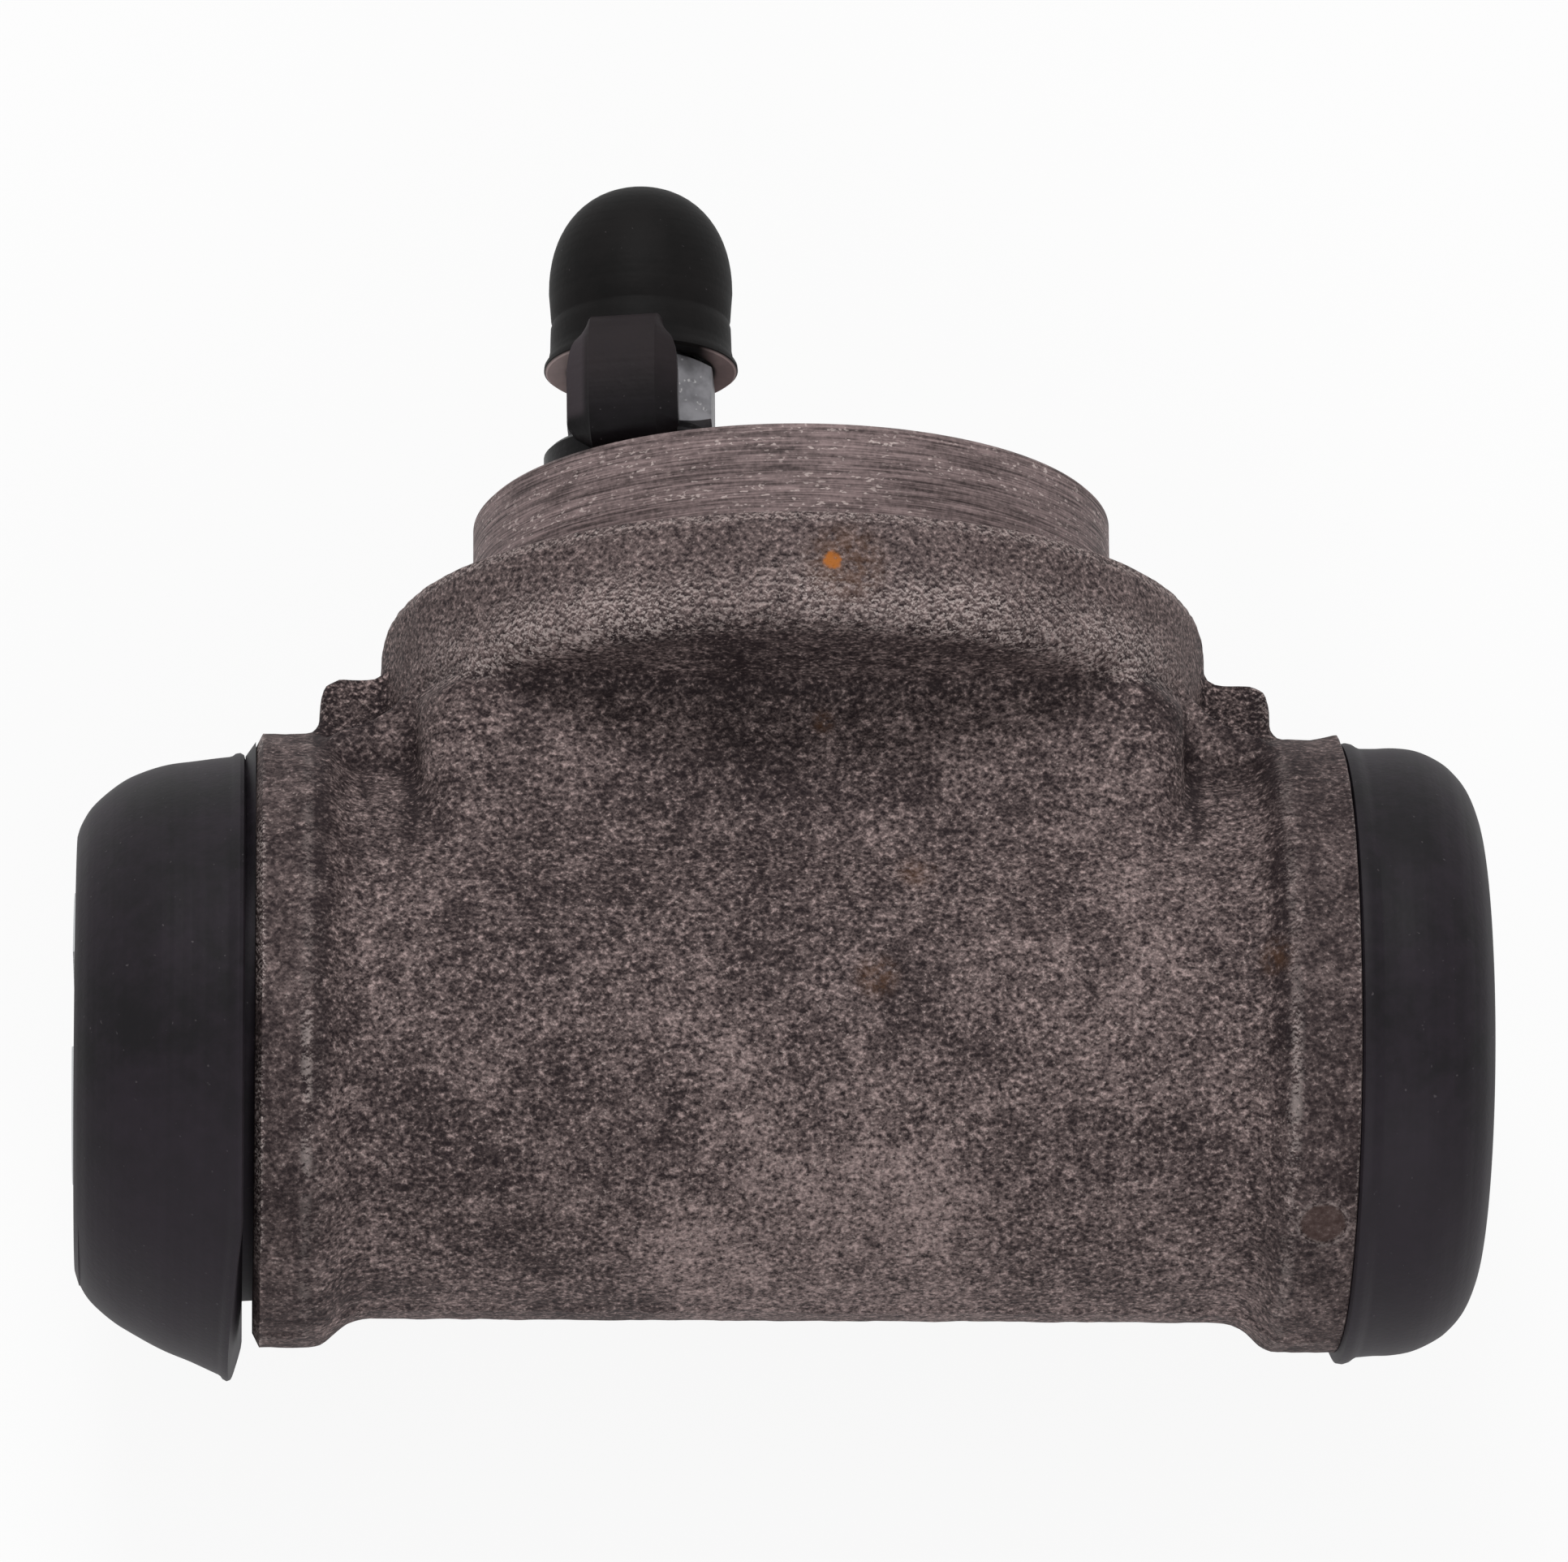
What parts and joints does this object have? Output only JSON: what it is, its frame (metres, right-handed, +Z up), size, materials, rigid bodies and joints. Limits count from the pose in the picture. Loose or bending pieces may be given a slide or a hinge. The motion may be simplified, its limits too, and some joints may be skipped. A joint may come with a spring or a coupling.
{
  "type": "wheel cylinder",
  "caption": "Double-acting drum brake wheel cylinder: iron casting with a turned mounting spigot, opposed slotted pistons in rubber dust boots, and a capped bleed screw.",
  "frame": {"origin": "centre of the mounting shoulder, on the axis of the spigot", "axes": "+X along the bore, +Y out of the mounting spigot, +Z up, across the bore"},
  "size_m": [0.0776, 0.0665, 0.046],
  "materials": {
    "cast_iron": "sand-cast, matt, with fine speckle and a little rust; spigot turned",
    "piston_alloy": "turned aluminium",
    "seal_rubber": "smooth moulded rubber",
    "boot_rubber": "matt moulded rubber with a soft sheen",
    "zinc_steel": "dull zinc plate",
    "spring_steel": "drawn wire and pressed sheet"
  },
  "bodies": {
    "housing": {"cylinder_body": "cast_iron", "left_dust_boot": "boot_rubber", "right_dust_boot": "boot_rubber", "return_spring": "spring_steel"},
    "left_plunger": {"left_piston": "piston_alloy", "left_cup_seal": "seal_rubber", "left_cup_expander": "spring_steel"},
    "right_plunger": {"right_piston": "piston_alloy", "right_cup_seal": "seal_rubber", "right_cup_expander": "spring_steel"},
    "bleeder": {"bleed_screw": "zinc_steel", "cap_strap": "boot_rubber"},
    "cap": {"bleed_cap": "boot_rubber"}
  },
  "joints": [
    {"name": "left_piston_slide", "type": "slide", "parent": "housing", "child": "left_plunger", "axis": [-1, 0, 0], "range_m": [-0.002, 0.005], "deforming": ["left_dust_boot", "return_spring"]},
    {"name": "right_piston_slide", "type": "slide", "parent": "housing", "child": "right_plunger", "axis": [1, 0, 0], "range_m": [-0.002, 0.005], "deforming": ["right_dust_boot", "return_spring"]},
    {"name": "bleed_screw_turn", "type": "hinge", "parent": "housing", "child": "bleeder", "pos_m": [-0.0086, 0.0068, 0.007], "axis": [0, 1, 0], "range_deg": [0, 270]},
    {"name": "bleed_cap_pull", "type": "slide", "parent": "bleeder", "child": "cap", "axis": [0, 1, 0], "range_m": [0, 0.01], "deforming": ["cap_strap"]}
  ]
}
